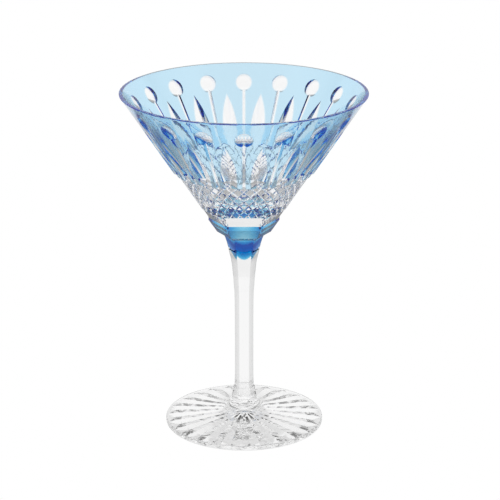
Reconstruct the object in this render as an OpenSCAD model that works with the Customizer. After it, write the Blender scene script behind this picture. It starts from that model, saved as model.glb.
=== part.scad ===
// Stemmed cocktail glass in cut crystal: a conical bowl of clear glass cased in
// blue, a faceted collar, a six-sided stem and a round foot with a star cut.
// Millimetres, +Z up, origin at the centre of the foot's underside.
// Azimuth is counted from the front (-Y); a flat of the collar and stem faces it.

/* [Overall] */
// Height from the table to the rim
total_h = 170; // [160:1:180]
// Outside diameter of the rim
rim_d = 120; // [110:1:128]
// Diameter of the foot
foot_d = 78.6; // [72:0.2:84]

/* [Bowl] */
// Outside radius gained for each millimetre of height
cone_slope = 0.659; // [0.63:0.001:0.68]
// Thickness of the blue casing on the bowl
casing_t = 0.4; // [0.3:0.05:0.6]
// Total wall thickness at the rim
rim_wall = 1.5; // [1.3:0.1:2]
// Radius gained for each millimetre of height inside the bowl
cavity_slope = 0.737; // [0.71:0.001:0.75]
// Radius of the rounded bottom of the cavity
cavity_round_r = 30; // [20:0.5:31]

/* [Cuts through the casing] */
// Number of round cuts, of line cuts and of leaf cuts
cut_count = 18; // [12:1:20]
// Height of the round cuts' centres
pearl_z = 160.8; // [158:0.1:162]
// Diameter of a round cut
pearl_d = 9.6; // [7:0.1:10]
// Width of a line cut
line_w = 2.3; // [1.8:0.1:2.8]
// Height of a leaf cut's tip
leaf_tip_z = 156.5; // [152:0.5:158]
// Height where a leaf cut is widest
leaf_wide_z = 140.5; // [139:0.5:143]
// Greatest width of a leaf cut
leaf_w = 9; // [7:0.1:9.6]

/* [Diamond band] */
// Height of the top of the diamond band
band_top_z = 131.6; // [130:0.1:133]
// Number of diamonds round the bowl
diamond_count = 36; // [24:2:40]
// Staggered half rows of diamonds from top to bottom
diamond_rows = 9; // [7:1:10]
// How far the diamonds' points lie inside the bowl's cone
band_recess = 1.3; // [1:0.1:1.6]

/* [Collar] */
// Height of the collar's widest edge
collar_z = 106.8; // [106:0.1:108]
// Radius of the collar over its corners
collar_r = 17.6; // [17:0.1:18]
// Height where the clear upper facets end
facet_top_z = 112; // [111:0.1:113]
// Height of the tip of the blue glass inside the stem
drop_tip_z = 86; // [85.5:0.1:87]

/* [Stem and foot] */
// Radius of the stem over its corners, at its thinnest
stem_r = 4.7; // [4.3:0.1:5.2]
// Thickness of the foot at its edge
foot_edge_t = 2.4; // [2:0.1:3]
// Number of rays of the star cut
ray_count = 24; // [20:2:24]
// Depth of a ray's valley over most of its length
ray_depth = 1.3; // [1:0.05:1.5]

/* [Hidden] */
$fn = 96;
sides = 6;
flat = cos(180 / sides);        // distance to a flat over distance to a corner
cone_a = atan(cone_slope);      // half angle of the bowl
rim_r = rim_d / 2;
foot_r = foot_d / 2;

// Outside radius of the blue casing at a height
function cone_r(z) = rim_r - cone_slope * (total_h - z);
// Outside radius of the clear glass under the casing
function clear_r(z) = cone_r(z) - casing_t / cos(cone_a);
// Radius of the diamonds' points
function band_r(z) = cone_r(z) - band_recess;
// The solid wall that carries the ring of diamonds
ring_seat = 3;
function seat_r(z) = band_r(z) - ring_seat;

// Cavity: a cone that runs into a ball
cavity_a = atan(cavity_slope);
cavity_rim_r = rim_r - rim_wall / cos(cavity_a);
cavity_apex_z = total_h - cavity_rim_r / cavity_slope;
cavity_ball_z = cavity_apex_z + cavity_round_r / sin(cavity_a);
cavity_join_z = cavity_ball_z - cavity_round_r * sin(cavity_a);
cavity_join_r = cavity_round_r * cos(cavity_a);

// Clear core inside the collar: radius and height, down to its rounded tip
core_tip_z = collar_z - 12.6;
core_points = [
    [10.7, collar_z - 7.0],
    [7.6, collar_z - 8.5],
    [5.2, collar_z - 10.2],
    [2.6, core_tip_z + 0.7],
    [0, core_tip_z]
];

// Blue drop that the stem is fused round: a rounded tip, then a straight flank
drop_tip_r = 3;
drop_flank_a = 42;
drop_top_r = 25;
drop_arc_steps = 5;
drop_ball_z = drop_tip_z + drop_tip_r;
drop_flank = [
    drop_tip_r * sin(drop_flank_a),
    drop_ball_z - drop_tip_r * cos(drop_flank_a)
];

// Collar, cup and stem over their corners, from the collar's edge to the foot
shaft_points = [
    [collar_r, collar_z],
    [collar_r, collar_z - 1.2],
    [13.4, collar_z - 7.2],
    [10.3, collar_z - 8.6],
    [8.8, collar_z - 11.9],
    [7.85, collar_z - 15.5],
    [7.3, collar_z - 18.1],
    [6.3, collar_z - 22.3],
    [5.6, collar_z - 28.5],
    [5.1, collar_z - 35],
    [stem_r, collar_z - 45],
    [stem_r, 23],
    [stem_r + 0.6, 18],
    [stem_r + 1.3, 14],
    [stem_r + 1.8, 11]
];
stem_foot_z = shaft_points[len(shaft_points) - 1][1];

// Foot: radius and height of its upper face, from the stem to the edge
foot_top = [
    [stem_r + 2.3, stem_foot_z],
    [stem_r + 2.9, 9.4],
    [10, 7.6],
    [15, 5.9],
    [22, 4.6],
    [30, 3.5],
    [foot_r - 0.6, foot_edge_t]
];
edge_round = 0.5;

// Rays of the star cut: distance from the axis and depth of the valley
ray_turn = -3;                  // turn of the star against the flats of the stem
ray_open = 3.7;                 // half width gained for each millimetre of depth
ray_points = [
    [2, ray_depth * 0.9],
    [10, ray_depth],
    [24, ray_depth],
    [31, ray_depth * 0.95],
    [34.5, ray_depth * 0.72],
    [36.8, ray_depth * 0.4],
    [38.4, 0],
    [39.6, -0.35]
];

// Shallow ball-ground hollow where the rays meet
pontil_r = 5;
pontil_depth = 1.9;
pontil_ball_r = (pow(pontil_r, 2) + pow(pontil_depth, 2)) / (2 * pontil_depth);

// One V-shaped cutter along X. path holds [distance, depth]; open is the half
// width gained for each millimetre of depth; the cutter stands clear above.
module valley_cutter(path, open, clear) {
    n = len(path);
    points = [for (p = path) each [
        [p[0], 0, -p[1]],
        [p[0], (p[1] + clear) * open, clear],
        [p[0], -(p[1] + clear) * open, clear]
    ]];
    sides_of = [for (i = [0 : n - 2]) each [
        [3 * i, 3 * i + 3, 3 * i + 4],
        [3 * i, 3 * i + 4, 3 * i + 1],
        [3 * i + 1, 3 * i + 4, 3 * i + 5],
        [3 * i + 1, 3 * i + 5, 3 * i + 2],
        [3 * i + 2, 3 * i + 5, 3 * i + 3],
        [3 * i + 2, 3 * i + 3, 3 * i]
    ]];
    ends = [[0, 1, 2], [3 * n - 3, 3 * n - 1, 3 * n - 2]];
    polyhedron(points, concat(sides_of, ends));
}

// Puts a shape on the bowl's cone: X runs up the wall, Z points out of it
module on_cone(azimuth, z) {
    rotate([0, 0, azimuth - 90])
        translate([cone_r(z), 0, z])
            rotate([0, cone_a - 90, 0])
                rotate([180, 0, 0])
                    children();
}

// The cuts that run through the casing into the clear glass
pearl_depth = 1.1;
pearl_ball_r = (pow(pearl_d / 2, 2) + pow(pearl_depth, 2)) / (2 * pearl_depth);
line_open = 2;
leaf_open = 2.6;
leaf_depth = leaf_w / 2 / leaf_open;
wall_step = cos(cone_a);
leaf_reach = (leaf_tip_z - leaf_wide_z) / wall_step;
wheel_r = (pow(leaf_reach, 2) + pow(leaf_depth, 2)) / (2 * leaf_depth);
wheel_half_w = leaf_w / 2 + 1.5;

module casing_cuts() {
    pitch = 360 / cut_count;
    for (i = [0 : cut_count - 1]) {
        on_cone(i * pitch, pearl_z)
            translate([0, 0, pearl_ball_r - pearl_depth])
                rotate([0, -90, 0])
                    sphere(r = pearl_ball_r);
        line_cut(i * pitch);
        on_cone((i + 0.5) * pitch, leaf_wide_z)
            leaf_wheel();
    }
}

// The V-edged grinding wheel whose edge leaves a leaf, pointed at its tip
module leaf_wheel() {
    shoulder_r = wheel_r - wheel_half_w / leaf_open;
    translate([0, 0, wheel_r - leaf_depth])
        rotate([90, 0, 0])
            rotate_extrude($fn = 360)
                polygon([
                    [0, -wheel_half_w],
                    [shoulder_r, -wheel_half_w],
                    [wheel_r, 0],
                    [shoulder_r, wheel_half_w],
                    [0, wheel_half_w]
                ]);
}

// A straight V cut from the round cut, where it runs out, past the band's top edge
module line_cut(azimuth) {
    low_z = band_top_z - 4;
    length = (pearl_z - low_z) / wall_step;
    depth = line_w / 2 / line_open;
    on_cone(azimuth, low_z)
        valley_cutter(
            [[0, depth], [length - pearl_d / 2, depth], [length, pearl_depth / 2]],
            line_open,
            1.5
        );
}

// Ring of pointed diamonds between two families of crossing grooves
module diamond_ring() {
    cols = 2 * diamond_count;
    low_z = collar_z;
    rows = diamond_rows;
    groove = 0.22 * 2 * PI / diamond_count;
    function row_z(j) = band_top_z - (band_top_z - low_z) * j / rows;
    function point_r(i, j) =
        band_r(row_z(j)) * ((i + j) % 2 == 0 ? 1 : 1 - groove);
    function at(i, r, z) =
        [r * cos(i * 360 / cols), r * sin(i * 360 / cols), z];
    outer = [for (j = [0 : rows], i = [0 : cols - 1])
        at(i, point_r(i, j), row_z(j))];
    inner = [for (j = [0, rows], i = [0 : cols - 1])
        at(i, seat_r(row_z(j)) - 1, row_z(j))];
    base = len(outer);
    function o(i, j) = j * cols + i % cols;
    function n(i, j) = base + j * cols + i % cols;
    skin = [for (j = [0 : rows - 1], i = [0 : cols - 1]) each
        (i + j) % 2 == 0
            ? [[o(i, j), o(i + 1, j), o(i, j + 1)],
               [o(i + 1, j), o(i + 1, j + 1), o(i, j + 1)]]
            : [[o(i, j), o(i + 1, j + 1), o(i, j + 1)],
               [o(i, j), o(i + 1, j), o(i + 1, j + 1)]]];
    lining = [for (i = [0 : cols - 1]) each [
        [n(i, 0), n(i, 1), n(i + 1, 1)],
        [n(i, 0), n(i + 1, 1), n(i + 1, 0)]]];
    lids = [for (i = [0 : cols - 1]) each [
        [o(i, 0), n(i, 0), n(i + 1, 0)],
        [o(i, 0), n(i + 1, 0), o(i + 1, 0)],
        [o(i, rows), o(i + 1, rows), n(i + 1, 1)],
        [o(i, rows), n(i + 1, 1), n(i, 1)]]];
    polyhedron(concat(outer, inner), concat(skin, lining, lids));
}

// Six flat cuts above the collar's edge, each ending in a bevelled step
facet_lean = 0.52;              // outward run for each millimetre of height
module upper_facets() {
    low = collar_r * flat;
    high = low + facet_lean * (facet_top_z - collar_z);
    out = 30;
    for (i = [0 : sides - 1])
        rotate([0, 0, i * 360 / sides + 90])
            rotate([90, 0, 0])
                linear_extrude(height = 60, center = true)
                    polygon([
                        [low - facet_lean, collar_z - 1],
                        [out, collar_z - 1],
                        [out, facet_top_z + 4],
                        [high, facet_top_z]
                    ]);
}

// Clear glass of the bowl, before the cavity is taken out of it
module bowl_blank() {
    rotate_extrude()
        polygon(concat(
            [
                [0, total_h],
                [clear_r(total_h), total_h],
                [clear_r(band_top_z), band_top_z],
                [seat_r(band_top_z), band_top_z],
                [seat_r(collar_z), collar_z]
            ],
            core_points
        ));
}

module cavity() {
    rise = 5;
    rotate_extrude()
        polygon([
            [0, cavity_ball_z],
            [0, cavity_join_z],
            [cavity_join_r, cavity_join_z],
            [cavity_rim_r + rise * cavity_slope, total_h + rise],
            [0, total_h + rise]
        ]);
    translate([0, 0, cavity_ball_z])
        sphere(r = cavity_round_r);
}

// Everything above the drop's surface, where the blue glass meets the stem
module above_drop() {
    arc = [for (k = [0 : drop_arc_steps])
        let (a = drop_flank_a * k / drop_arc_steps)
        [drop_tip_r * sin(a), drop_ball_z - drop_tip_r * cos(a)]];
    flank_top = [
        drop_top_r,
        drop_flank[1] + (drop_top_r - drop_flank[0]) * tan(drop_flank_a)
    ];
    rotate_extrude()
        polygon(concat(arc, [flank_top, [0, flank_top[1]]]));
}

// Six-sided solid of the collar, the cup under it and the stem
module shaft() {
    rotate_extrude($fn = sides)
        polygon(concat(
            [[0, collar_z]],
            shaft_points,
            [[0, stem_foot_z]]
        ));
}

module bowl() {
    color([0.93, 0.95, 0.97, 0.6])
        difference() {
            union() {
                difference() {
                    bowl_blank();
                    casing_cuts();
                }
                difference() {
                    diamond_ring();
                    upper_facets();
                }
            }
            cavity();
        }
}

module bowl_casing() {
    color([0.55, 0.78, 0.93, 0.7])
        difference() {
            rotate_extrude()
                polygon([
                    [clear_r(total_h), total_h],
                    [cone_r(total_h), total_h],
                    [cone_r(band_top_z), band_top_z],
                    [clear_r(band_top_z), band_top_z]
                ]);
            casing_cuts();
        }
}

module collar_casing() {
    color([0.12, 0.42, 0.78, 0.8])
        difference() {
            intersection() {
                shaft();
                above_drop();
            }
            rotate_extrude()
                polygon(concat(
                    [[0, collar_z + 1], [seat_r(collar_z), collar_z + 1]],
                    [[seat_r(collar_z), collar_z]],
                    core_points
                ));
        }
}

module stem() {
    color([0.9, 0.92, 0.94, 0.6])
        difference() {
            shaft();
            above_drop();
        }
}

module foot() {
    color([0.94, 0.95, 0.97, 0.6])
        difference() {
            rotate_extrude()
                polygon(concat(
                    [[0, stem_foot_z]],
                    foot_top,
                    [
                        [foot_r, foot_edge_t - edge_round],
                        [foot_r, edge_round],
                        [foot_r - edge_round, 0],
                        [0, 0]
                    ]
                ));
            for (i = [0 : ray_count - 1])
                rotate([0, 0, i * 360 / ray_count - 90 + ray_turn])
                    mirror([0, 0, 1])
                        valley_cutter(ray_points, ray_open, 1);
            translate([0, 0, pontil_depth - pontil_ball_r])
                sphere(r = pontil_ball_r);
        }
}

bowl();
bowl_casing();
collar_casing();
stem();
foot();
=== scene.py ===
"""Looks of a cut and cased crystal cocktail glass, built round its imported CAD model.

Every piece of the glass is rebuilt as a finished mesh with its real cuts. Shapes are
worked out in millimetres and scaled to metres when a piece is finished. The clear
glass alone bends light. Each blue layer lies a hair under the clear surface and only
tints what passes through it, because fused glass has no seam between its layers.
"""
import math

import bmesh
import bpy
from mathutils import Matrix, Vector


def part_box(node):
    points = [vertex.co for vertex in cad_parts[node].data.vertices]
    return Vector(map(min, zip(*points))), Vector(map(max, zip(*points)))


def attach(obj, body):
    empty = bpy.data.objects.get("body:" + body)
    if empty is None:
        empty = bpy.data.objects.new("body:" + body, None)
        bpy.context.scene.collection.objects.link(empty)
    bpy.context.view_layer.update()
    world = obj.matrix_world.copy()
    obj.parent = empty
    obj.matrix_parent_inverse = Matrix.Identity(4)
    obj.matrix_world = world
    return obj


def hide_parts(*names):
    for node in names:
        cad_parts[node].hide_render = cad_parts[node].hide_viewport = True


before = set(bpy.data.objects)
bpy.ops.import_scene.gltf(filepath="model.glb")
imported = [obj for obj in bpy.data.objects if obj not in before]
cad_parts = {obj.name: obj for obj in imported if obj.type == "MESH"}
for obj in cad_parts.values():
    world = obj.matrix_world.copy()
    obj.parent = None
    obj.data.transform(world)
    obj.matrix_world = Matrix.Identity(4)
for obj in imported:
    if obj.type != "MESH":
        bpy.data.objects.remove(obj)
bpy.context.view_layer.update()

# ---------------------------------------------------------------- sizes, in mm
MM = 0.001


def node_box(node):
    lo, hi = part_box(node)
    return lo / MM, hi / MM


casing_lo, casing_hi = node_box("bowl_casing")
collar_lo, collar_hi = node_box("collar_casing")
stem_lo, _ = node_box("stem")
foot_lo, foot_hi = node_box("foot")

TOTAL_H = casing_hi.z
RIM_R = (casing_hi.y - casing_lo.y) / 2
BAND_TOP_Z = casing_lo.z
COLLAR_Z = collar_hi.z
COLLAR_R = (collar_hi.x - collar_lo.x) / 2
DROP_TIP_Z = collar_lo.z
STEM_FOOT_Z = stem_lo.z
FOOT_R = (foot_hi.x - foot_lo.x) / 2

# Bowl. A slope is the growth in radius over the height.
CONE_SLOPE = 0.659
CONE_ANGLE = math.atan(CONE_SLOPE)
CASING_T = 0.4
SKIN = 0.02  # clear glass over each blue layer
RIM_WALL = 1.5
RIM_ROUND = 0.5
CAVITY_SLOPE = 0.737
CAVITY_ROUND_R = 30.0

# Cuts in the bowl. A valley's opening is half its width over its depth.
CUT_COUNT = 18
PEARL_Z = 160.8
PEARL_D = 9.6
PEARL_DEPTH = 1.1
LINE_W = 2.3
LINE_OPEN = 2.0
LINE_RUN = 4  # past the casing's lower edge
LEAF_TIP_Z = 156.5
LEAF_WIDE_Z = 140.5
LEAF_W = 9.0
LEAF_OPEN = 2.6
LEAF_SPAN = 1.35  # length of the cutter each way over the leaf's upper half

# Band of diamonds
DIAMOND_COUNT = 36
DIAMOND_ROWS = 9
BAND_RECESS = 1.3
LAND_SIZE = 0.72  # flat top of a diamond over its whole size
GROOVE_DEPTH = 0.016  # over the radius
RING_SEAT = 3.0

# Collar, drop and stem
SIDES = 6
FLAT = math.cos(math.pi / SIDES)  # distance to a side over the distance to a corner
FACET_TOP_Z = 112.0
FACET_STEP = 4  # rise of the bevel over a facet
FACET_LEAN = 0.52
DROP_TIP_R = 3.0
DROP_FLANK_ANGLE = math.radians(42)
CORE_DEPTH = 12.6  # of the clear core's tip below the collar's edge
STEM_R = 4.7
STEM_END_R = STEM_R + 1.8
CORNER_ROUND = 0.08  # rounding of the six corners over their distance from the axis

# Foot
FOOT_EDGE_T = 2.4
TOP_EDGE_ROUND = 0.6
EDGE_ROUND = 0.5
RAY_COUNT = 24
RAY_DEPTH = 1.3
RAY_OPEN = 3.7
RAY_TURN = -3  # degrees
PONTIL_R = 5.0
PONTIL_DEPTH = 1.9

# Making of the meshes
SEGMENTS = 288
BALL_SEGMENTS = 96
DROP_SEGMENTS = 192
CURVE_STEP = 0.8
CORE_STEP = 0.5
OVERLAP = 1.0  # reach of one solid into another that it joins or cuts
BEYOND = 30  # outside of everything that a cutter cuts
DROP_REACH = 25  # radius of the solid above the drop's surface
JOINT_NEAR = 0.05  # how near a fused joint's faces lie to its surface
JOINT_LEVEL = 0.9  # upward or downward part of the normal of a level joint
SHARP_ANGLE = math.radians(18)

# ---------------------------------------------------------------- looks
GLASS_IOR = 1.54
WAVE_SCALE = 260
WAVE_DETAIL = 2
WAVE_STRENGTH = 0.5
WAVE_HEIGHT = 0.00004  # m

# Painted edge shade of the crystal: grey of its colour, from seen straight on to seen edge-on
CRYSTAL_EDGE_SHADE = [(0.0, 1.0), (0.3, 1.0), (0.5, 0.97), (0.71, 0.93), (0.8, 0.5), (1.0, 0.05)]
STEM_EDGE_SHADE = [(0.0, 0.93), (0.25, 0.91), (0.5, 0.64), (0.7, 0.3), (1.0, 0.05)]

# Floor: painted light of the sheet as a grey, distances from the axis in m
FLOOR_SIZE = 3.0
FLOOR_GAP = 0.0002  # under the foot
FLOOR_PAINTED_SHEEN = (0.49, 0.54)  # painted sheen: slant over which the sheet starts to shine
FLOOR_DULL = 0.4
FLOOR_PAINTED_POOL = 1.0  # painted pool of light, close to the foot
# Distances from the axis over which the painted pool of light fades
PAINTED_POOL_EDGE = (0.04, 0.13)
FLOOR_SHADE = 0.8  # painted shade: shine left on the sheet under the foot
SHADE_BLUR = 0.0006

# Surroundings, as greys by height from the horizon (0) to overhead (1)
SKY_BEHIND = [
    (0.0, 0.95),
    (0.25, 0.88),
    (0.44, 0.85),
    (0.52, 0.2),
    (0.72, 0.2),
    (0.8, 0.55),
    (1.0, 0.55),
]
SKY_BESIDE = [(0.0, 0.2), (0.2, 0.2), (0.3, 0.35), (0.5, 0.45), (1.0, 0.55)]
BEHIND = (0.2, 0.6)  # Y of a direction, from beside to behind
IN_FRONT = (-0.55, -0.15)  # Y of a direction, from in front to beside
FRONT_LIGHT = 0.2  # share of the light that is left in front

# Camera, in m, mm and degrees
CAMERA_AT = (0, -0.955, 0.415)
CAMERA_LENS = 147.8
CAMERA_SENSOR = 36
CAMERA_DOWN = 18.8
CAMERA_PAN = -0.176
CAMERA_REACH = 50


def cone_r(z):
    """Outside radius of the bowl at a height."""
    return RIM_R - CONE_SLOPE * (TOTAL_H - z)


def band_r(z):
    """Radius of the diamonds' points at a height."""
    return cone_r(z) - BAND_RECESS


def seat_r(z):
    """Radius at a height where the ring of diamonds sits on the bowl."""
    return band_r(z) - RING_SEAT


# ---------------------------------------------------------------- mesh tools
def make_solid(name, verts, faces):
    """An object from points and faces, with its faces turned outward."""
    mesh = bpy.data.meshes.new(name)
    mesh.from_pydata(verts, [], faces)
    work = bmesh.new()
    work.from_mesh(mesh)
    bmesh.ops.recalc_face_normals(work, faces=work.faces)
    work.to_mesh(mesh)
    work.free()
    solid = bpy.data.objects.new(name, mesh)
    bpy.context.collection.objects.link(solid)
    return solid


def revolve(name, profile, segments=SEGMENTS):
    """Solid of revolution of a closed outline of (radius, height) points."""
    verts = []
    rings = []
    for r, z in profile:
        if r < 1e-6:
            rings.append([len(verts)] * segments)
            verts.append((0, 0, z))
            continue
        rings.append(list(range(len(verts), len(verts) + segments)))
        for i in range(segments):
            a = 2 * math.pi * i / segments
            verts.append((r * math.cos(a), r * math.sin(a), z))
    faces = []
    for k, ring in enumerate(rings):
        after = rings[(k + 1) % len(rings)]
        for i in range(segments):
            j = (i + 1) % segments
            corners = [ring[i], ring[j], after[j], after[i]]
            face = list(dict.fromkeys(corners))
            if len(face) > 2:
                faces.append(face)
    return make_solid(name, verts, faces)


def valley_cutter(name, path, opening, clear):
    """V-shaped cutter along X through (distance, depth) points, open above."""
    verts = []
    for x, depth in path:
        half = (depth + clear) * opening
        verts += [(x, 0, -depth), (x, half, clear), (x, -half, clear)]
    faces = [(0, 1, 2)]
    for i in range(0, 3 * (len(path) - 1), 3):
        faces += [
            (i, i + 3, i + 4, i + 1),
            (i + 1, i + 4, i + 5, i + 2),
            (i + 2, i + 5, i + 3, i),
        ]
    end = 3 * len(path)
    faces.append((end - 3, end - 1, end - 2))
    return make_solid(name, verts, faces)


def combine(solid, others, operation):
    """Boolean of a solid with several others, which are used up."""
    group = bpy.data.collections.new("operands")
    for other in others:
        bpy.context.collection.objects.unlink(other)
        group.objects.link(other)
    step = solid.modifiers.new("step", "BOOLEAN")
    step.operation = operation
    step.operand_type = "COLLECTION"
    step.collection = group
    step.solver = "MANIFOLD"
    ready = solid.evaluated_get(bpy.context.evaluated_depsgraph_get())
    mesh = bpy.data.meshes.new_from_object(ready)
    solid.modifiers.clear()
    used = solid.data
    solid.data = mesh
    bpy.data.meshes.remove(used)
    for other in others:
        used = other.data
        bpy.data.objects.remove(other)
        bpy.data.meshes.remove(used)
    bpy.data.collections.remove(group)
    return solid


def turned(solid, matrix):
    """The same solid with its own points moved by a matrix."""
    solid.data.transform(matrix)
    return solid


def copies_round(make, count, offset=0.0):
    """One solid for each of count equal steps round the axis, first at the front."""
    made = []
    for i in range(count):
        azimuth = 2 * math.pi * (i + offset) / count - math.pi / 2
        made.append(turned(make(), Matrix.Rotation(azimuth, 4, "Z")))
    return made


def on_cone(z, lift=0.0):
    """Places a shape on the bowl's wall: X runs up it and Z points out of it."""
    turn = Matrix.Rotation(CONE_ANGLE - math.pi / 2, 4, "Y") @ Matrix.Rotation(math.pi, 4, "X")
    return Matrix.Translation((cone_r(z), 0, z)) @ turn @ Matrix.Translation((0, 0, lift))


def smooth_curve(points, step):
    """Catmull-Rom curve through (radius, height) points, one point about every step."""
    made = []
    ends = [points[0]] + points + [points[-1]]
    for k in range(1, len(ends) - 2):
        p0, p1, p2, p3 = (Vector(ends[k + d]) for d in (-1, 0, 1, 2))
        pieces = max(1, round((p2 - p1).length / step))
        for i in range(pieces):
            t = i / pieces
            q = 2 * p1 + (p2 - p0) * t
            q += (2 * p0 - 5 * p1 + 4 * p2 - p3) * t * t
            q += (3 * p1 - p0 - 3 * p2 + p3) * t * t * t
            made.append(tuple(q / 2))
    return made + [points[-1]]


# ---------------------------------------------------------------- cutting
def arc_profile(r):
    """Half circle from pole to pole, for a ball."""
    steps = 32
    points = []
    for i in range(steps + 1):
        a = math.pi * i / steps
        points.append((r * math.sin(a), -r * math.cos(a)))
    points[0] = (0, -r)
    points[-1] = (0, r)
    return points


def casing_cutters(grow=0.0):
    """Round, line and leaf cutters of the bowl, grow mm larger all over."""
    pitch_up = math.cos(CONE_ANGLE)
    ball_r = ((PEARL_D / 2) ** 2 + PEARL_DEPTH ** 2) / (2 * PEARL_DEPTH)

    def pearl():
        ball = revolve("pearl", arc_profile(ball_r + grow), BALL_SEGMENTS)
        return turned(ball, on_cone(PEARL_Z, ball_r - PEARL_DEPTH))

    def line():
        low_z = BAND_TOP_Z - LINE_RUN
        depth = LINE_W / 2 / LINE_OPEN + grow * math.hypot(1, LINE_OPEN) / LINE_OPEN
        length = (PEARL_Z - low_z) / pitch_up
        path = [(0, depth), (length - PEARL_D / 2, depth), (length, PEARL_DEPTH / 2)]
        cutter = valley_cutter("line", path, LINE_OPEN, clear=1.5)
        return turned(cutter, on_cone(low_z))

    def leaf():
        depth = LEAF_W / 2 / LEAF_OPEN
        reach = (LEAF_TIP_Z - LEAF_WIDE_Z) / pitch_up
        wheel_r = (reach ** 2 + depth ** 2) / (2 * depth)
        centre = wheel_r - depth
        edge_r = wheel_r + grow * math.hypot(1, LEAF_OPEN) / LEAF_OPEN
        path = []
        span = LEAF_SPAN * reach
        steps = 20
        for i in range(2 * steps + 1):
            x = span * (i / steps - 1)
            path.append((x, math.sqrt(edge_r ** 2 - x * x) - centre))
        cutter = valley_cutter("leaf", path, LEAF_OPEN, clear=3.0)
        return turned(cutter, on_cone(LEAF_WIDE_Z))

    return (
        copies_round(pearl, CUT_COUNT)
        + copies_round(line, CUT_COUNT)
        + copies_round(leaf, CUT_COUNT, 0.5)
    )


def cavity_solid():
    """The hollow of the bowl: a cone that runs into a ball."""
    a = math.atan(CAVITY_SLOPE)
    rim_r = RIM_R - RIM_WALL / math.cos(a)
    apex_z = TOTAL_H - rim_r / CAVITY_SLOPE
    ball_z = apex_z + CAVITY_ROUND_R / math.sin(a)
    rise = 5  # above the rim
    points = [(0, ball_z - CAVITY_ROUND_R)]
    steps = 40
    for i in range(1, steps + 1):
        t = (math.pi / 2 - a) * i / steps
        points.append((CAVITY_ROUND_R * math.sin(t), ball_z - CAVITY_ROUND_R * math.cos(t)))
    points += [(rim_r + rise * CAVITY_SLOPE, TOTAL_H + rise), (0, TOTAL_H + rise)]
    return revolve("cavity", points)


def diamond_ring():
    """Ring of flat-topped diamonds left by two families of crossing grooves."""
    cols = 2 * DIAMOND_COUNT
    rows = DIAMOND_ROWS
    verts = []

    def level(j):
        return BAND_TOP_Z - (BAND_TOP_Z - COLLAR_Z) * j / rows

    def add(i, j, r):
        a = 2 * math.pi * i / cols
        verts.append((r * math.cos(a), r * math.sin(a), level(j)))
        return len(verts) - 1

    crossings = {}
    for j in range(rows + 1):
        for i in range((j + 1) % 2, cols, 2):
            crossings[i, j] = add(i, j, band_r(level(j)) * (1 - GROOVE_DEPTH))
    faces = []
    rims = {0: [], rows: []}
    for j in range(rows + 1):
        for i in range(j % 2, cols, 2):
            steps = [(-1, 0), (0, 1), (1, 0), (0, -1)]
            ends = [(dx, dy) for dx, dy in steps if 0 <= j + dy <= rows]
            if j == rows:
                ends = [(1, 0), (0, -1), (-1, 0)]
            land = []
            low = []
            for dx, dy in ends:
                up = j + dy * LAND_SIZE
                land.append(add(i + dx * LAND_SIZE, up, band_r(level(up))))
                low.append(crossings[(i + dx) % cols, j + dy])
            faces.append(land)
            count = len(ends)
            for k in range(count if count == 4 else count - 1):
                n = (k + 1) % count
                faces.append((land[k], land[n], low[n], low[k]))
            if j in rims:
                left, right = (land[0], land[2]) if j == 0 else (land[2], land[0])
                rims[j] += [left, right, crossings[(i + 1) % cols, j]]
    walls = {}
    for j, rim in rims.items():
        start = len(verts)
        r = seat_r(level(j)) - OVERLAP
        for k in rim:
            x, y, z = verts[k]
            share = r / math.hypot(x, y)
            verts.append((x * share, y * share, z))
        walls[j] = list(range(start, len(verts)))
        for k in range(len(rim)):
            n = (k + 1) % len(rim)
            faces.append((rim[k], rim[n], walls[j][n], walls[j][k]))
    count = len(walls[0])
    for k in range(count):
        n = (k + 1) % count
        faces.append((walls[0][k], walls[0][n], walls[rows][n], walls[rows][k]))
    return make_solid("diamonds", verts, faces)


def upper_facet():
    """One flat cut above the collar's edge, ending in a bevelled step."""
    low = COLLAR_R * FLAT
    high = low + FACET_LEAN * (FACET_TOP_Z - COLLAR_Z)
    outline = [
        (low - FACET_LEAN * OVERLAP, COLLAR_Z - OVERLAP),
        (BEYOND, COLLAR_Z - OVERLAP),
        (BEYOND, FACET_TOP_Z + FACET_STEP),
        (high, FACET_TOP_Z),
    ]
    verts = [(x, y, z) for y in (-BEYOND, BEYOND) for x, z in outline]
    faces = [(0, 1, 2, 3), (7, 6, 5, 4)]
    for i in range(4):
        j = (i + 1) % 4
        faces.append((i, j, j + 4, i + 4))
    return make_solid("facet", verts, faces)


def drop_outline(shrink=0.0):
    """Lower surface of the blue drop: a rounded tip, then a straight flank."""
    ball_z = DROP_TIP_Z + DROP_TIP_R
    r = DROP_TIP_R - shrink
    steps = 12
    points = []
    for k in range(steps + 1):
        a = DROP_FLANK_ANGLE * k / steps
        points.append((r * math.sin(a), ball_z - r * math.cos(a)))
    run = DROP_REACH - points[-1][0]
    points.append((DROP_REACH, points[-1][1] + run * math.tan(DROP_FLANK_ANGLE)))
    return points


def above_drop(shrink=0.0):
    """Solid of all that lies above the drop's lower surface."""
    lid_z = COLLAR_Z + BEYOND
    outline = drop_outline(shrink) + [(DROP_REACH, lid_z), (0, lid_z)]
    return revolve("above_drop", outline, DROP_SEGMENTS)


def shaft_profile():
    """Collar, cup and stem over their corners, from the collar's edge down."""
    collar = [(COLLAR_R, COLLAR_Z), (COLLAR_R, COLLAR_Z - 1.2)]
    flare = [
        (13.4, COLLAR_Z - 7.2),
        (10.3, COLLAR_Z - 8.6),
        (8.8, COLLAR_Z - 11.9),
        (7.85, COLLAR_Z - 15.5),
        (7.3, COLLAR_Z - 18.1),
        (6.3, COLLAR_Z - 22.3),
        (5.6, COLLAR_Z - 28.5),
        (5.1, COLLAR_Z - 35),
        (STEM_R, COLLAR_Z - 45),
        (STEM_R, 23),
        (STEM_R + 0.6, 18),
        (STEM_R + 1.3, 14),
        (STEM_END_R, STEM_FOOT_Z),
    ]
    return collar + smooth_curve(flare, CURVE_STEP)


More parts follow.
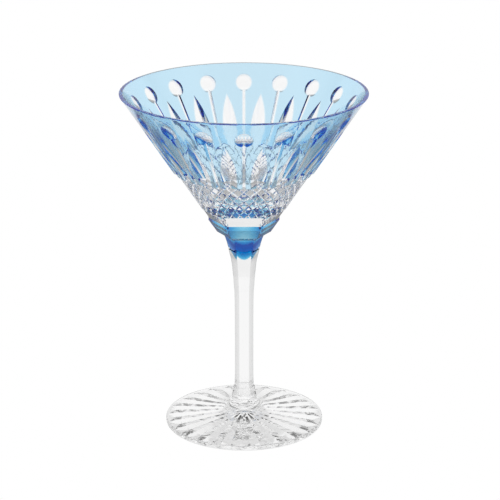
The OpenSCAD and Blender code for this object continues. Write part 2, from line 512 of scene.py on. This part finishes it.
def shaft(shrink=0.0):
    """Six-sided solid of the collar, the cup and the stem, with rounded corners."""
    verts = []
    faces = []
    arc = [math.radians(a) for a in (-30, -18, -6, 6, 18, 30)]
    count = SIDES * len(arc)
    points = shaft_profile()
    for r, z in points:
        round_r = CORNER_ROUND * r
        middle = r - shrink / FLAT - round_r / FLAT
        for k in range(SIDES):
            corner = 2 * math.pi * k / SIDES
            for turn in arc:
                verts.append((
                    middle * math.cos(corner) + round_r * math.cos(corner + turn),
                    middle * math.sin(corner) + round_r * math.sin(corner + turn),
                    min(z, COLLAR_Z - shrink),
                ))
    for j in range(len(points) - 1):
        for i in range(count):
            k = (i + 1) % count
            faces.append((j * count + i, j * count + k, (j + 1) * count + k, (j + 1) * count + i))
    faces.append(range(count))
    faces.append(range(len(verts) - count, len(verts)))
    return make_solid("shaft", verts, faces)


# ---------------------------------------------------------------- materials
def new_material(name):
    """An empty material, with its nodes and links."""
    material = bpy.data.materials.new(name)
    material.use_nodes = True
    material.node_tree.nodes.clear()
    return material, material.node_tree.nodes, material.node_tree.links


def grey_ramp(node, stops):
    """Sets a colour ramp from (place, grey) stops."""
    ramp = node.color_ramp
    ramp.elements[0].position = stops[0][0]
    ramp.elements[1].position = stops[-1][0]
    for place, _ in stops[1:-1]:
        ramp.elements.new(place)
    for element, (_, grey) in zip(ramp.elements, stops):
        element.color = (grey, grey, grey, 1)


def smooth_step(nodes, span, low, high):
    """A node that goes smoothly from low to high over a span of its value."""
    node = nodes.new("ShaderNodeMapRange")
    node.interpolation_type = "SMOOTHSTEP"
    node.inputs["From Min"].default_value = span[0]
    node.inputs["From Max"].default_value = span[1]
    node.inputs["To Min"].default_value = low
    node.inputs["To Max"].default_value = high
    return node


def crystal_material(name, edge_shade_stops):
    """Polished lead crystal, faintly uneven, with painted shade that darkens it where it is seen
    edge-on.
    """
    material, nodes, links = new_material(name)
    out = nodes.new("ShaderNodeOutputMaterial")
    glass = nodes.new("ShaderNodeBsdfPrincipled")
    slant = nodes.new("ShaderNodeLayerWeight")
    # painted shade: darkens the glass's colour where it is seen edge-on
    depth = nodes.new("ShaderNodeValToRGB")
    where = nodes.new("ShaderNodeTexCoord")
    waves = nodes.new("ShaderNodeTexNoise")
    bump = nodes.new("ShaderNodeBump")
    grey_ramp(depth, edge_shade_stops)
    waves.inputs["Scale"].default_value = WAVE_SCALE
    waves.inputs["Detail"].default_value = WAVE_DETAIL
    bump.inputs["Strength"].default_value = WAVE_STRENGTH
    bump.inputs["Distance"].default_value = WAVE_HEIGHT
    glass.inputs["Roughness"].default_value = 0.0
    glass.inputs["IOR"].default_value = GLASS_IOR
    glass.inputs["Transmission Weight"].default_value = 1.0
    links.new(slant.outputs["Facing"], depth.inputs["Fac"])
    links.new(depth.outputs["Color"], glass.inputs["Base Color"])
    links.new(where.outputs["Object"], waves.inputs["Vector"])
    links.new(waves.outputs["Fac"], bump.inputs["Height"])
    links.new(bump.outputs["Normal"], glass.inputs["Normal"])
    links.new(glass.outputs["BSDF"], out.inputs["Surface"])
    return material


def joint_material():
    """The face where two pieces are fused: nothing bends or reflects there."""
    material, nodes, links = new_material("fused_joint")
    out = nodes.new("ShaderNodeOutputMaterial")
    clear = nodes.new("ShaderNodeBsdfTransparent")
    links.new(clear.outputs["BSDF"], out.inputs["Surface"])
    return material


def tint_material(name, colour, density):
    """Blue glass inside the crystal: it absorbs and does not bend light."""
    material, nodes, links = new_material(name)
    out = nodes.new("ShaderNodeOutputMaterial")
    clear = nodes.new("ShaderNodeBsdfTransparent")
    absorb = nodes.new("ShaderNodeVolumeAbsorption")
    absorb.inputs["Color"].default_value = (*colour, 1)
    absorb.inputs["Density"].default_value = density
    links.new(clear.outputs["BSDF"], out.inputs["Surface"])
    links.new(absorb.outputs["Volume"], out.inputs["Volume"])
    return material


CRYSTAL = crystal_material("crystal", CRYSTAL_EDGE_SHADE)
STEM_CRYSTAL = crystal_material("stem_crystal", STEM_EDGE_SHADE)
JOINT = joint_material()
CASING_BLUE = tint_material("casing_blue", colour=(0.0, 0.65, 0.955), density=1230)
COLLAR_BLUE = tint_material("collar_blue", colour=(0.0, 0.68, 0.89), density=580)


# ---------------------------------------------------------------- pieces
def finish_piece(solid, name, node, materials, joint_test=None):
    """Scales a solid to metres, shades it, parents it to the root, and hides its CAD node.

    Faces that pass the joint test take the second material.
    """
    solid.name = name
    solid.data.name = name
    solid.data.materials.clear()
    for material in materials:
        solid.data.materials.append(material)
    for face in solid.data.polygons:
        face.material_index = 1 if joint_test and joint_test(face) else 0
        face.use_smooth = True
    solid.data.transform(Matrix.Scale(MM, 4))
    solid.data.set_sharp_from_angle(angle=SHARP_ANGLE)
    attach(solid, "root")
    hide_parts(node)
    return solid


def drop_z(r):
    """Height of the drop's lower surface at a radius."""
    edge_r = DROP_TIP_R * math.sin(DROP_FLANK_ANGLE)
    ball_z = DROP_TIP_Z + DROP_TIP_R
    if r < edge_r:
        return ball_z - math.sqrt(DROP_TIP_R ** 2 - r * r)
    edge_z = ball_z - DROP_TIP_R * math.cos(DROP_FLANK_ANGLE)
    return edge_z + (r - edge_r) * math.tan(DROP_FLANK_ANGLE)


def on_drop(face):
    """Whether a face lies where the stem is fused round the drop."""
    c = face.center
    below_collar = c.z < COLLAR_Z - 5
    return below_collar and abs(c.z - drop_z(math.hypot(c.x, c.y))) < JOINT_NEAR


def build_bowl():
    """Clear bowl with its cuts, its diamonds, its facets and its solid core."""
    rim_r = cone_r(TOTAL_H)
    round_low_z = TOTAL_H - 0.8
    plug_z = COLLAR_Z - 2
    blank = revolve("bowl", [
        (0, TOTAL_H),
        (rim_r - RIM_ROUND, TOTAL_H),
        (rim_r - RIM_ROUND * 0.3, TOTAL_H - 0.12),
        (rim_r - 0.15, TOTAL_H - 0.4),
        (cone_r(round_low_z), round_low_z),
        (cone_r(BAND_TOP_Z), BAND_TOP_Z),
        (seat_r(BAND_TOP_Z), BAND_TOP_Z),
        (seat_r(COLLAR_Z), COLLAR_Z),
        (seat_r(COLLAR_Z) - 0.5, plug_z),
        (0, plug_z),
    ])
    ring = combine(diamond_ring(), copies_round(upper_facet, SIDES), "DIFFERENCE")
    collar = combine(shaft(), [above_drop()], "INTERSECT")
    blank = combine(blank, [ring, collar], "UNION")
    blank = combine(blank, [cavity_solid()] + casing_cutters(), "DIFFERENCE")
    return finish_piece(blank, "bowl_crystal", "bowl", [CRYSTAL, JOINT], on_drop)


def build_bowl_casing():
    """Blue layer over the bowl, open where the cuts go through it."""
    top_z = TOTAL_H - RIM_ROUND
    low_z = BAND_TOP_Z + SKIN
    under = SKIN / math.cos(CONE_ANGLE)
    deep = CASING_T / math.cos(CONE_ANGLE)
    shell = revolve("casing", [
        (cone_r(top_z) - deep, top_z),
        (cone_r(top_z) - under, top_z),
        (cone_r(low_z) - under, low_z),
        (cone_r(low_z) - deep, low_z),
    ])
    shell = combine(shell, casing_cutters(SKIN), "DIFFERENCE")
    return finish_piece(
        shell, "bowl_blue_casing", "bowl_casing", [CASING_BLUE]
    )


def build_collar_casing():
    """Blue collar, cup and drop, hollow where the bowl's clear core runs into them."""
    core_tip = COLLAR_Z - CORE_DEPTH
    core_head = [
        (0, COLLAR_Z + OVERLAP),
        (seat_r(COLLAR_Z), COLLAR_Z + OVERLAP),
        (seat_r(COLLAR_Z), COLLAR_Z),
    ]
    core_end = [
        (10.7, COLLAR_Z - 7.0),
        (7.6, COLLAR_Z - 8.5),
        (5.2, COLLAR_Z - 10.2),
        (2.6, core_tip + 0.7),
        (0, core_tip),
    ]
    core = revolve("core", core_head + smooth_curve(core_end, CORE_STEP), BALL_SEGMENTS)
    blue = combine(shaft(SKIN), [above_drop(SKIN)], "INTERSECT")
    blue = combine(blue, [core], "DIFFERENCE")
    return finish_piece(
        blue, "collar_blue_casing", "collar_casing", [COLLAR_BLUE]
    )


def build_stem():
    """Clear stem, fused to the drop at its top and to the foot at its bottom."""
    def at_joint(face):
        low = face.center.z < STEM_FOOT_Z + JOINT_NEAR
        return (low and face.normal.z < -JOINT_LEVEL) or on_drop(face)

    stem = combine(shaft(), [above_drop()], "DIFFERENCE")
    return finish_piece(stem, "stem_crystal", "stem", [STEM_CRYSTAL, JOINT], at_joint)


def build_foot():
    """Clear foot with the star cut and the ground hollow in its underside."""
    foot_top = smooth_curve([
        (STEM_R + 2.3, STEM_FOOT_Z),
        (STEM_R + 2.9, 9.4),
        (10, 7.6),
        (15, 5.9),
        (22, 4.6),
        (30, 3.5),
        (FOOT_R - TOP_EDGE_ROUND, FOOT_EDGE_T),
    ], CURVE_STEP)
    steps = 6
    edge = []
    for k in range(1, steps + 1):
        a = math.pi / 2 * k / steps
        edge.append((
            FOOT_R - TOP_EDGE_ROUND + TOP_EDGE_ROUND * math.sin(a),
            FOOT_EDGE_T - TOP_EDGE_ROUND + TOP_EDGE_ROUND * math.cos(a),
        ))
    for k in range(steps + 1):
        a = math.pi / 2 * k / steps
        edge.append((
            FOOT_R - EDGE_ROUND + EDGE_ROUND * math.cos(a),
            EDGE_ROUND - EDGE_ROUND * math.sin(a),
        ))
    blank = revolve("foot", [(0, STEM_FOOT_Z)] + foot_top + edge + [(0, 0)])
    ray_path = [
        (2, RAY_DEPTH * 0.9),
        (10, RAY_DEPTH),
        (24, RAY_DEPTH),
        (31, RAY_DEPTH * 0.95),
        (34.5, RAY_DEPTH * 0.72),
        (36.8, RAY_DEPTH * 0.4),
        (38.4, 0),
        (39.6, -0.35),
    ]

    def ray():
        path = smooth_curve(ray_path, CURVE_STEP)
        cutter = valley_cutter("ray", path, RAY_OPEN, clear=1.0)
        turn = Matrix.Rotation(math.radians(RAY_TURN), 4, "Z")
        return turned(cutter, turn @ Matrix.Rotation(math.pi, 4, "X"))

    ball_r = (PONTIL_R ** 2 + PONTIL_DEPTH ** 2) / (2 * PONTIL_DEPTH)
    pontil = revolve("pontil", arc_profile(ball_r), BALL_SEGMENTS)
    turned(pontil, Matrix.Translation((0, 0, PONTIL_DEPTH - ball_r)))
    seat_top = STEM_FOOT_Z + OVERLAP
    seat_z = STEM_FOOT_Z - SKIN
    seat = revolve("seat", [
        (0, seat_top),
        (STEM_END_R, seat_top),
        (STEM_END_R, seat_z),
        (0, seat_z),
    ], SIDES)
    foot = combine(blank, copies_round(ray, RAY_COUNT) + [pontil, seat], "DIFFERENCE")

    def at_joint(face):
        near_axis = math.hypot(face.center.x, face.center.y) < STEM_END_R * FLAT
        high = face.center.z > STEM_FOOT_Z - JOINT_NEAR
        return near_axis and high and face.normal.z > JOINT_LEVEL

    return finish_piece(foot, "foot_crystal", "foot", [CRYSTAL, JOINT], at_joint)


# ---------------------------------------------------------------- studio
def build_floor():
    """Glowing sheet with painted light: a painted sheen, white at a low slant, and grey from
    above.

    Seen from above it has a painted pool of light round the foot. At a low slant it has
    slightly darker painted shade under the foot.
    """
    size = FLOOR_SIZE
    mesh = bpy.data.meshes.new("floor")
    mesh.from_pydata(
        [(-size, -size, 0), (size, -size, 0), (size, size, 0), (-size, size, 0)],
        [],
        [(0, 1, 2, 3)],
    )
    floor = bpy.data.objects.new("floor", mesh)
    bpy.context.collection.objects.link(floor)
    floor.location.z = -FLOOR_GAP
    material, nodes, links = new_material("floor_painted_light")
    out = nodes.new("ShaderNodeOutputMaterial")
    glow = nodes.new("ShaderNodeEmission")
    slant = nodes.new("ShaderNodeLayerWeight")
    where = nodes.new("ShaderNodeTexCoord")
    distance = nodes.new("ShaderNodeVectorMath")
    distance.operation = "LENGTH"
    # painted pool of light round the foot, seen from above
    painted_pool = smooth_step(nodes, PAINTED_POOL_EDGE, FLOOR_PAINTED_POOL, FLOOR_DULL)
    # painted sheen: the sheet glows brighter when seen at a low slant
    painted_sheen = smooth_step(nodes, FLOOR_PAINTED_SHEEN, 0, 1)
    level = nodes.new("ShaderNodeMix")
    foot_r = FOOT_R * MM
    # painted shade on the sheet under the foot
    shade = smooth_step(nodes, (foot_r - SHADE_BLUR, foot_r), FLOOR_SHADE, 1)
    links.new(where.outputs["Object"], distance.inputs[0])
    links.new(distance.outputs["Value"], painted_pool.inputs["Value"])
    links.new(distance.outputs["Value"], shade.inputs["Value"])
    links.new(shade.outputs["Result"], level.inputs["B"])
    links.new(slant.outputs["Facing"], painted_sheen.inputs["Value"])
    links.new(painted_sheen.outputs["Result"], level.inputs["Factor"])
    links.new(painted_pool.outputs["Result"], level.inputs["A"])
    links.new(level.outputs["Result"], glow.inputs["Color"])
    links.new(glow.outputs["Emission"], out.inputs["Surface"])
    floor.data.materials.append(material)


def colour_sockets(sockets):
    """The sockets of a mixing node that carry a colour."""
    return [socket for socket in sockets if socket.type == "RGBA"]


def build_world():
    """Bright wall behind, grey sky over it and at the sides, little light in front."""
    world = bpy.data.worlds.new("studio")
    world.use_nodes = True
    nodes, links = world.node_tree.nodes, world.node_tree.links
    nodes.clear()
    out = nodes.new("ShaderNodeOutputWorld")
    back = nodes.new("ShaderNodeBackground")
    where = nodes.new("ShaderNodeTexCoord")
    split = nodes.new("ShaderNodeSeparateXYZ")
    sky_behind = nodes.new("ShaderNodeValToRGB")
    sky_beside = nodes.new("ShaderNodeValToRGB")
    grey_ramp(sky_behind, SKY_BEHIND)
    grey_ramp(sky_beside, SKY_BESIDE)
    behind = smooth_step(nodes, BEHIND, 0, 1)
    front = smooth_step(nodes, IN_FRONT, FRONT_LIGHT, 1)
    sky = nodes.new("ShaderNodeMix")
    sky.data_type = "RGBA"
    at_side, at_back = colour_sockets(sky.inputs)
    mixed, = colour_sockets(sky.outputs)
    links.new(where.outputs["Generated"], split.inputs["Vector"])
    for ramp in (sky_behind, sky_beside):
        links.new(split.outputs["Z"], ramp.inputs["Fac"])
    for step in (behind, front):
        links.new(split.outputs["Y"], step.inputs["Value"])
    links.new(behind.outputs["Result"], sky.inputs["Factor"])
    links.new(sky_beside.outputs["Color"], at_side)
    links.new(sky_behind.outputs["Color"], at_back)
    links.new(mixed, back.inputs["Color"])
    links.new(front.outputs["Result"], back.inputs["Strength"])
    links.new(back.outputs["Background"], out.inputs["Surface"])
    bpy.context.scene.world = world


def build_camera():
    """Camera in front of the glass, looking down at it."""
    data = bpy.data.cameras.new("camera")
    data.lens = CAMERA_LENS
    data.sensor_width = CAMERA_SENSOR
    data.clip_end = CAMERA_REACH
    camera = bpy.data.objects.new("camera", data)
    camera.location = CAMERA_AT
    camera.rotation_euler = (math.radians(90 - CAMERA_DOWN), 0, math.radians(CAMERA_PAN))
    bpy.context.collection.objects.link(camera)
    bpy.context.scene.camera = camera


def set_render_paths():
    """Enough bounces for light to cross many glass faces, and plain colour."""
    scene = bpy.context.scene
    scene.view_settings.view_transform = "Standard"
    cycles = scene.cycles
    cycles.max_bounces = 40
    cycles.transmission_bounces = 40
    cycles.glossy_bounces = 24
    cycles.transparent_max_bounces = 96
    cycles.use_denoising = True


build_bowl()
build_bowl_casing()
build_collar_casing()
build_stem()
build_foot()
build_floor()
build_world()
build_camera()
set_render_paths()
